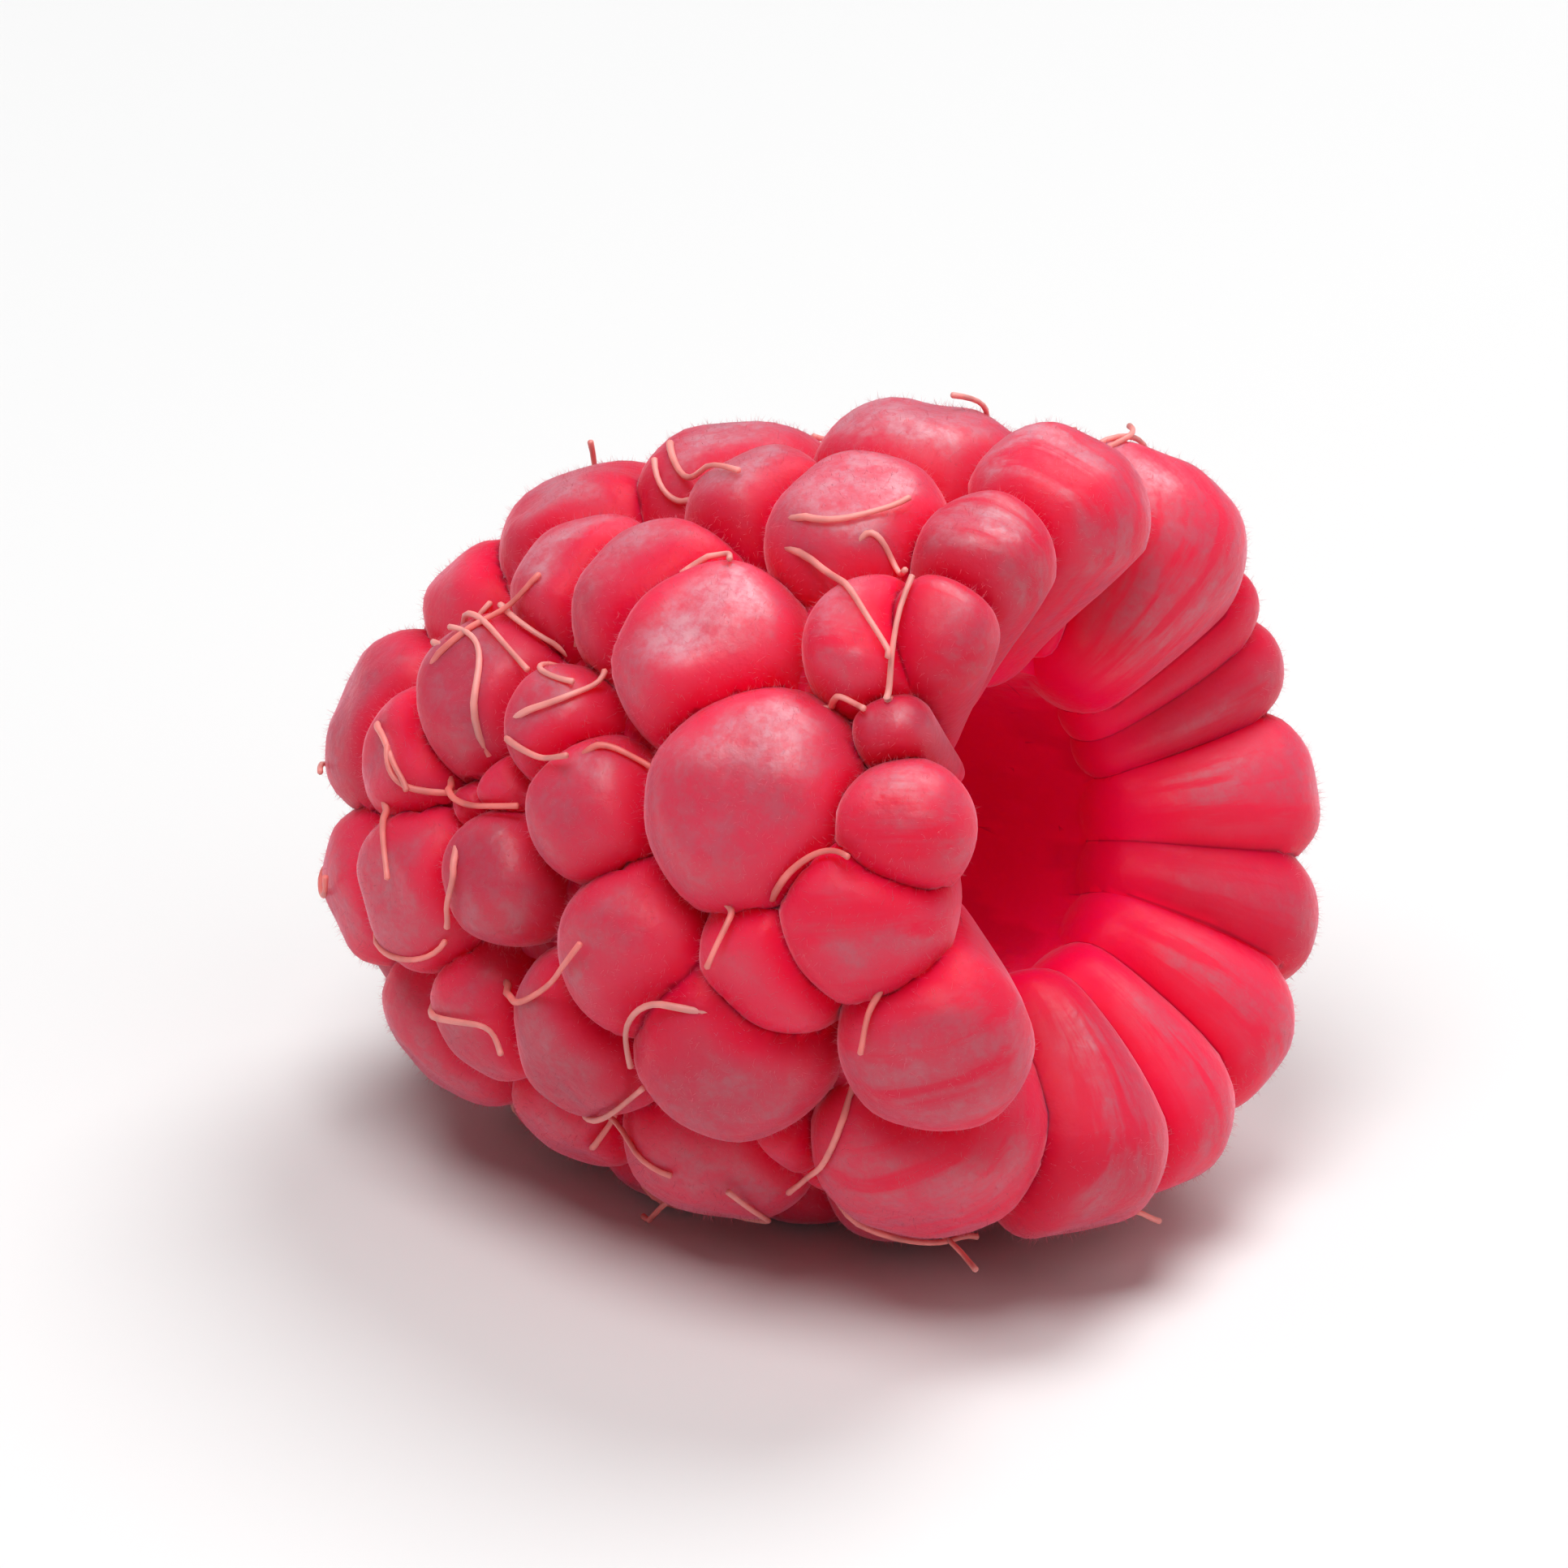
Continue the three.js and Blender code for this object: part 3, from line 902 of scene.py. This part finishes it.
def mottle_group():
    """The group that the plainer materials share: soft patches that shade a colour.

    Noise on Object coordinates is ranged from Darkest to Lightest, and multiplies the colour.
    """
    if "mottle" in bpy.data.node_groups:
        return bpy.data.node_groups["mottle"]
    tree = bpy.data.node_groups.new("mottle", "ShaderNodeTree")
    tree.interface.new_socket("Colour", in_out="INPUT", socket_type="NodeSocketColor")
    for name in ("Scale", "Darkest", "Lightest"):
        tree.interface.new_socket(name, in_out="INPUT", socket_type="NodeSocketFloat")
    tree.interface.new_socket("Colour", in_out="OUTPUT", socket_type="NodeSocketColor")
    given = node_of(tree, "NodeGroupInput").outputs
    result = node_of(tree, "NodeGroupOutput").inputs
    patches = noise(tree, node_of(tree, "ShaderNodeTexCoord").outputs["Object"], given["Scale"])
    shade = ranged(tree, patches, *MIDDLING, given["Darkest"], given["Lightest"])
    plug(tree, result["Colour"], mixed(tree, 1.0, given["Colour"], shade, "MULTIPLY"))
    return tree


def mottled(tree, colour, scale, darkest, lightest):
    """Places the mottle group on a colour."""
    node = node_of(tree, "ShaderNodeGroup", node_tree=mottle_group())
    values = {"Colour": colour, "Scale": scale, "Darkest": darkest, "Lightest": lightest}
    return fill(tree, node, values)["Colour"]


def new_material(name):
    mat = bpy.data.materials.new(name)
    mat.use_nodes = True
    return mat, mat.node_tree, mat.node_tree.nodes["Principled BSDF"]


def opaque(colour):
    """A colour with full alpha, as the shaders' sockets take it."""
    return (*colour, 1)


def skin_masks(tree, place):
    """Masks over the skin: its blotches and flecks, and where rim and middle colours lie."""
    edge, dome = attribute_value(tree, "edge"), attribute_value(tree, "dome")
    blotch, fleck = noise(tree, place, *BLOTCH), noise(tree, place, *FLECK)
    streak = noise(tree, attribute_value(tree, "grain", "Vector"), *STREAK)
    waver = maths(tree, "MULTIPLY_ADD", maths(tree, "SUBTRACT", blotch, 0.5), WAVER, edge)
    outside = ranged(tree, dome, *OUTSIDE)
    striped = product(tree, attribute_value(tree, "petal"), ranged(tree, streak, *STRIPED))
    rim = product(tree, outside, ranged(tree, waver, *RIM))
    rim = product(tree, rim, maths(tree, "MULTIPLY_ADD", striped, STRIPED_RIM, 1.0))
    mottle = product(tree, ranged(tree, blotch, *BLOTCHED), ranged(tree, fleck, *FLECKED))
    middle = product(tree, outside, ranged(tree, waver, *MIDDLE), mottle)
    middle = product(tree, middle, maths(tree, "SUBTRACT", 1.0, striped))
    return blotch, fleck, rim, middle


def berry_material(settings):
    """Mauve domes with brighter rims and a painted highlight where they face up, a crimson hollow
    with a painted glow, and crimson creases with painted shade along them.
    """
    mat, tree, shader = new_material("raspberry_flesh")
    place = node_of(tree, "ShaderNodeTexCoord").outputs["Object"]
    edge, dome = attribute_value(tree, "edge"), attribute_value(tree, "dome")
    blotch, fleck, rim, middle = skin_masks(tree, place)
    hollow = opaque(settings.hollow_colour)
    inside = ranged(tree, dome, *INSIDE)
    # The painted highlight: pale colour on the domes' middles where the skin faces up.
    highlight = product(tree, attribute_value(tree, "highlit"), middle, HIGHLIGHT_SHARE)

    colour = mixed(tree, rim, opaque(settings.juice_colour), opaque(settings.rim_colour))
    colour = mixed(tree, middle, colour, opaque(settings.face_colour))
    colour = mixed(tree, highlight, colour, opaque(settings.highlight_colour))
    colour = mixed(tree, inside, colour, hollow)
    tone = ranged(tree, attribute_value(tree, "tone"), *TONES, kind="LINEAR")
    colour = mixed(tree, 1.0, colour, tone, "MULTIPLY")
    # Painted shade: the colour darkens along the creases.
    colour = mixed(tree, 1.0, colour, ranged(tree, edge, *CREASE_SHADE), "MULTIPLY")

    bump = node_of(tree, "ShaderNodeBump")
    height = maths(tree, "MULTIPLY_ADD", fleck, FLECK_HEIGHT, noise(tree, place, *SWELL))
    fill(tree, bump, {"Strength": 0.6, "Distance": 0.00008, "Height": height})
    roughness = [settings.roughness + change for change in ROUGHNESS_RANGE]
    facing = node_of(tree, "ShaderNodeLayerWeight").outputs["Facing"]
    fill(tree, shader, {
        "Base Color": colour,
        "Roughness": ranged(tree, blotch, *MIDDLING, *roughness),
        "Normal": bump.outputs["Normal"],
        "Subsurface Weight": 1.0,
        "Subsurface Radius": (1.0, 0.12, 0.1),
        "Subsurface Scale": settings.glow_depth,
        "Specular IOR Level": 0.12,
        "Coat Weight": product(tree, middle, ranged(tree, facing, *COATED)),
        "Coat Roughness": 0.45,
        "Coat IOR": 1.7,
        "Coat Normal": bump.outputs["Normal"],
        "Sheen Weight": 0.7,
        "Sheen Roughness": 0.3,
        "Sheen Tint": (1.0, 0.45, 0.55, 1),
        # Painted light: the wall of the hollow glows a little in its own colour.
        "Emission Color": mixed(tree, inside, (0, 0, 0, 1), hollow),
        "Emission Strength": 0.04,
    })
    return mat


def style_material(settings):
    """Dried threads, from salmon to straw."""
    mat, tree, shader = new_material("raspberry_style")
    tone = attribute_value(tree, "tone")
    colour = mixed(tree, tone, opaque(settings.colour), opaque(settings.dry_colour))
    fill(tree, shader, {
        "Base Color": mottled(tree, colour, *STYLE_MOTTLE),
        "Roughness": 0.45,
        "Subsurface Weight": 0.3,
        "Subsurface Radius": (1.0, 0.4, 0.3),
        "Subsurface Scale": 0.0003,
    })
    return mat


def velvet_material(settings):
    """Short red hairs."""
    mat, tree, shader = new_material("raspberry_velvet")
    colour = mottled(tree, opaque(settings.colour), *VELVET_MOTTLE)
    fill(tree, shader, {"Base Color": colour, "Roughness": 0.5})
    return mat


class RaspberryBerrySettings(bpy.types.PropertyGroup):
    sides: IntProperty(
        name="Sides", description="Faces round one drupelet", default=48, min=12, max=64
    )
    crease_angle: FloatProperty(
        name="Crease angle", description="Edges that turn by more than this stay sharp",
        default=math.radians(35), subtype="ANGLE", unit="ROTATION",
    )
    face_colour: FloatVectorProperty(
        name="Face", description="Colour of the middle of the domes",
        default=(0.62, 0.06, 0.12), subtype="COLOR", min=0, max=1,
    )
    # The colour of the painted highlight, pale where the skin faces up towards the light.
    highlight_colour: FloatVectorProperty(
        name="Highlight", description="Colour of the bloom on the sunny side",
        default=(0.80, 0.42, 0.49), subtype="COLOR", min=0, max=1,
    )
    rim_colour: FloatVectorProperty(
        name="Rim", description="Colour of the domes near the creases",
        default=(0.80, 0.04, 0.095), subtype="COLOR", min=0, max=1,
    )
    juice_colour: FloatVectorProperty(
        name="Juice", description="Colour of the creases",
        default=(0.85, 0.003, 0.05), subtype="COLOR", min=0, max=1,
    )
    hollow_colour: FloatVectorProperty(
        name="Hollow", description="Colour of the wall of the hollow",
        default=(0.95, 0.002, 0.07), subtype="COLOR", min=0, max=1,
    )
    glow_depth: FloatProperty(
        name="Glow depth", description="How deep red light goes into the flesh",
        default=0.0014, subtype="DISTANCE", unit="LENGTH",
    )
    roughness: FloatProperty(
        name="Roughness", description="Roughness of the skin", default=0.42, min=0, max=1
    )


class RaspberryStyleSettings(bpy.types.PropertyGroup):
    thickness: FloatProperty(
        name="Thickness", description="Thickness of a style at its root",
        default=0.00021, subtype="DISTANCE", unit="LENGTH",
    )
    colour: FloatVectorProperty(
        name="Fresh", description="Colour of a fresh style",
        default=(0.95, 0.21, 0.19), subtype="COLOR", min=0, max=1,
    )
    dry_colour: FloatVectorProperty(
        name="Dry", description="Colour of a dried style",
        default=(0.95, 0.37, 0.34), subtype="COLOR", min=0, max=1,
    )


class RaspberryVelvetSettings(bpy.types.PropertyGroup):
    count: IntProperty(
        name="Hairs", description="How many short hairs there are", default=45000, min=0
    )
    length: FloatProperty(
        name="Length", description="Usual length of a hair",
        default=0.00018, subtype="DISTANCE", unit="LENGTH",
    )
    thickness: FloatProperty(
        name="Thickness", description="Thickness of a hair at its root",
        default=0.000008, subtype="DISTANCE", unit="LENGTH",
    )
    colour: FloatVectorProperty(
        name="Colour", description="Colour of the hairs",
        default=(0.75, 0.16, 0.23), subtype="COLOR", min=0, max=1,
    )


class RaspberryStageSettings(bpy.types.PropertyGroup):
    floor_colour: FloatVectorProperty(
        name="Floor", description="Colour of the floor and the backdrop",
        default=(0.8, 0.8, 0.8), subtype="COLOR", min=0, max=1,
    )
    azimuth: FloatProperty(
        name="Azimuth", description="Where the camera stands round the berry",
        default=math.radians(30.2), subtype="ANGLE", unit="ROTATION",
    )
    elevation: FloatProperty(
        name="Elevation", description="How far the camera looks down",
        default=math.radians(26), subtype="ANGLE", unit="ROTATION",
    )
    distance: FloatProperty(
        name="Distance", description="From the camera to the berry",
        default=0.30, subtype="DISTANCE", unit="LENGTH",
    )
    key_power: FloatProperty(
        name="Key light", description="Power of the large light overhead",
        default=1.7, subtype="POWER", unit="POWER",
    )
    back_power: FloatProperty(
        name="Back light", description="Power of the large light behind the berry",
        default=1.5, subtype="POWER", unit="POWER",
    )
    fill_power: FloatProperty(
        name="Fill light", description="Power of the large light beside the camera",
        default=0.6, subtype="POWER", unit="POWER",
    )
    sky: FloatProperty(
        name="Sky", description="Strength of the light from all round", default=0.15, min=0
    )


class RASPBERRY_OT_berry(bpy.types.Operator):
    """Builds the fused drupelets round their hollow"""

    bl_idname = "raspberry.berry"
    bl_label = "Berry"

    def execute(self, context):
        settings = context.scene.raspberry_berry
        mesh = berry_mesh(settings.sides, settings.crease_angle)
        berry = new_piece("berry", mesh, berry_material(settings))
        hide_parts(NODE)
        return {"FINISHED"}


class RASPBERRY_OT_styles(bpy.types.Operator):
    """Builds the dried styles that lie over the drupelets"""

    bl_idname = "raspberry.styles"
    bl_label = "Styles"

    def execute(self, context):
        settings = context.scene.raspberry_styles
        mesh = styles_mesh(settings.thickness / MM)
        new_piece("styles", mesh, style_material(settings))
        return {"FINISHED"}


class RASPBERRY_OT_velvet(bpy.types.Operator):
    """Builds the short hairs on the outside of the berry"""

    bl_idname = "raspberry.velvet"
    bl_label = "Velvet"

    def execute(self, context):
        settings = context.scene.raspberry_velvet
        berry = bpy.data.objects["berry"].data
        mesh = velvet_mesh(berry, settings.count, settings.length / MM, settings.thickness / MM)
        new_piece("velvet", mesh, velvet_material(settings))
        return {"FINISHED"}


def aimed(name, data, centre, way, distance):
    """A light or camera that stands off from a centre and looks at it."""
    obj = new_object(name, data)
    obj.location = centre + way * distance
    obj.rotation_mode = "QUATERNION"
    obj.rotation_quaternion = (-way).to_track_quat("-Z", "Y")
    return obj


def direction(azimuth, elevation):
    """The way from the berry to a camera or a light; azimuth 0 is in front."""
    level = math.cos(elevation)
    return Vector((math.sin(azimuth) * level, -math.cos(azimuth) * level, math.sin(elevation)))


class RASPBERRY_OT_stage(bpy.types.Operator):
    """Lays the floor and sets up the lights and the camera"""

    bl_idname = "raspberry.stage"
    bl_label = "Stage"

    def execute(self, context):
        settings = context.scene.raspberry_stage
        low, high = CAD_BOX
        centre = (low + high) / 2
        half = FLOOR_HALF
        corners = [(-half, -half, 0), (half, -half, 0), (half, half, 0), (-half, half, 0)]
        floor = new_object("floor", new_mesh("floor", corners, [(0, 1, 2, 3)]))
        mat, tree, shader = new_material("pale_floor")
        colour = mottled(tree, opaque(settings.floor_colour), *FLOOR_MOTTLE)
        fill(tree, shader, {"Base Color": colour, "Roughness": 0.7})
        floor.data.materials.append(mat)

        powers = (settings.key_power, settings.back_power, settings.fill_power)
        for (name, azimuth, elevation, distance, width), power in zip(LIGHTS, powers):
            light = bpy.data.lights.new(name, "AREA")
            light.shape = "DISK"
            light.size = width
            light.energy = power
            way = direction(math.radians(azimuth), math.radians(elevation))
            aimed(name, light, centre, way, distance)

        world = bpy.data.worlds.new("studio")
        context.scene.world = world
        world.use_nodes = True
        sky = world.node_tree.nodes["Background"]
        fill(world.node_tree, sky, {"Color": (1, 1, 1, 1), "Strength": settings.sky})
        context.scene.view_settings.view_transform = "Standard"

        camera = bpy.data.cameras.new("camera")
        camera.lens = LENS
        camera.clip_start = NEAREST
        view = direction(settings.azimuth, settings.elevation)
        context.scene.camera = aimed("camera", camera, centre, view, settings.distance)
        return {"FINISHED"}


class RASPBERRY_PT_panel(bpy.types.Panel):
    """Lists the operators and their settings"""

    bl_idname = "RASPBERRY_PT_panel"
    bl_label = "Raspberry"
    bl_space_type = "VIEW_3D"
    bl_region_type = "UI"
    bl_category = "Raspberry"

    def draw(self, context):
        for operator, settings in PARTS:
            box = self.layout.box()
            box.operator(operator.bl_idname)
            values = getattr(context.scene, settings)
            for name in values.__annotations__:
                box.prop(values, name)


SETTINGS = {
    "raspberry_berry": RaspberryBerrySettings,
    "raspberry_styles": RaspberryStyleSettings,
    "raspberry_velvet": RaspberryVelvetSettings,
    "raspberry_stage": RaspberryStageSettings,
}
PARTS = (
    (RASPBERRY_OT_berry, "raspberry_berry"),
    (RASPBERRY_OT_styles, "raspberry_styles"),
    (RASPBERRY_OT_velvet, "raspberry_velvet"),
    (RASPBERRY_OT_stage, "raspberry_stage"),
)
CLASSES = (*SETTINGS.values(), *(operator for operator, _ in PARTS), RASPBERRY_PT_panel)


def register():
    for cls in CLASSES:
        bpy.utils.register_class(cls)
    for name, cls in SETTINGS.items():
        setattr(bpy.types.Scene, name, PointerProperty(type=cls))


def unregister():
    for name in SETTINGS:
        delattr(bpy.types.Scene, name)
    for cls in reversed(CLASSES):
        bpy.utils.unregister_class(cls)


def main():
    register()
    bpy.ops.raspberry.berry()
    bpy.ops.raspberry.styles()
    bpy.ops.raspberry.velvet()
    bpy.ops.raspberry.stage()


if __name__ == "__main__":
    main()
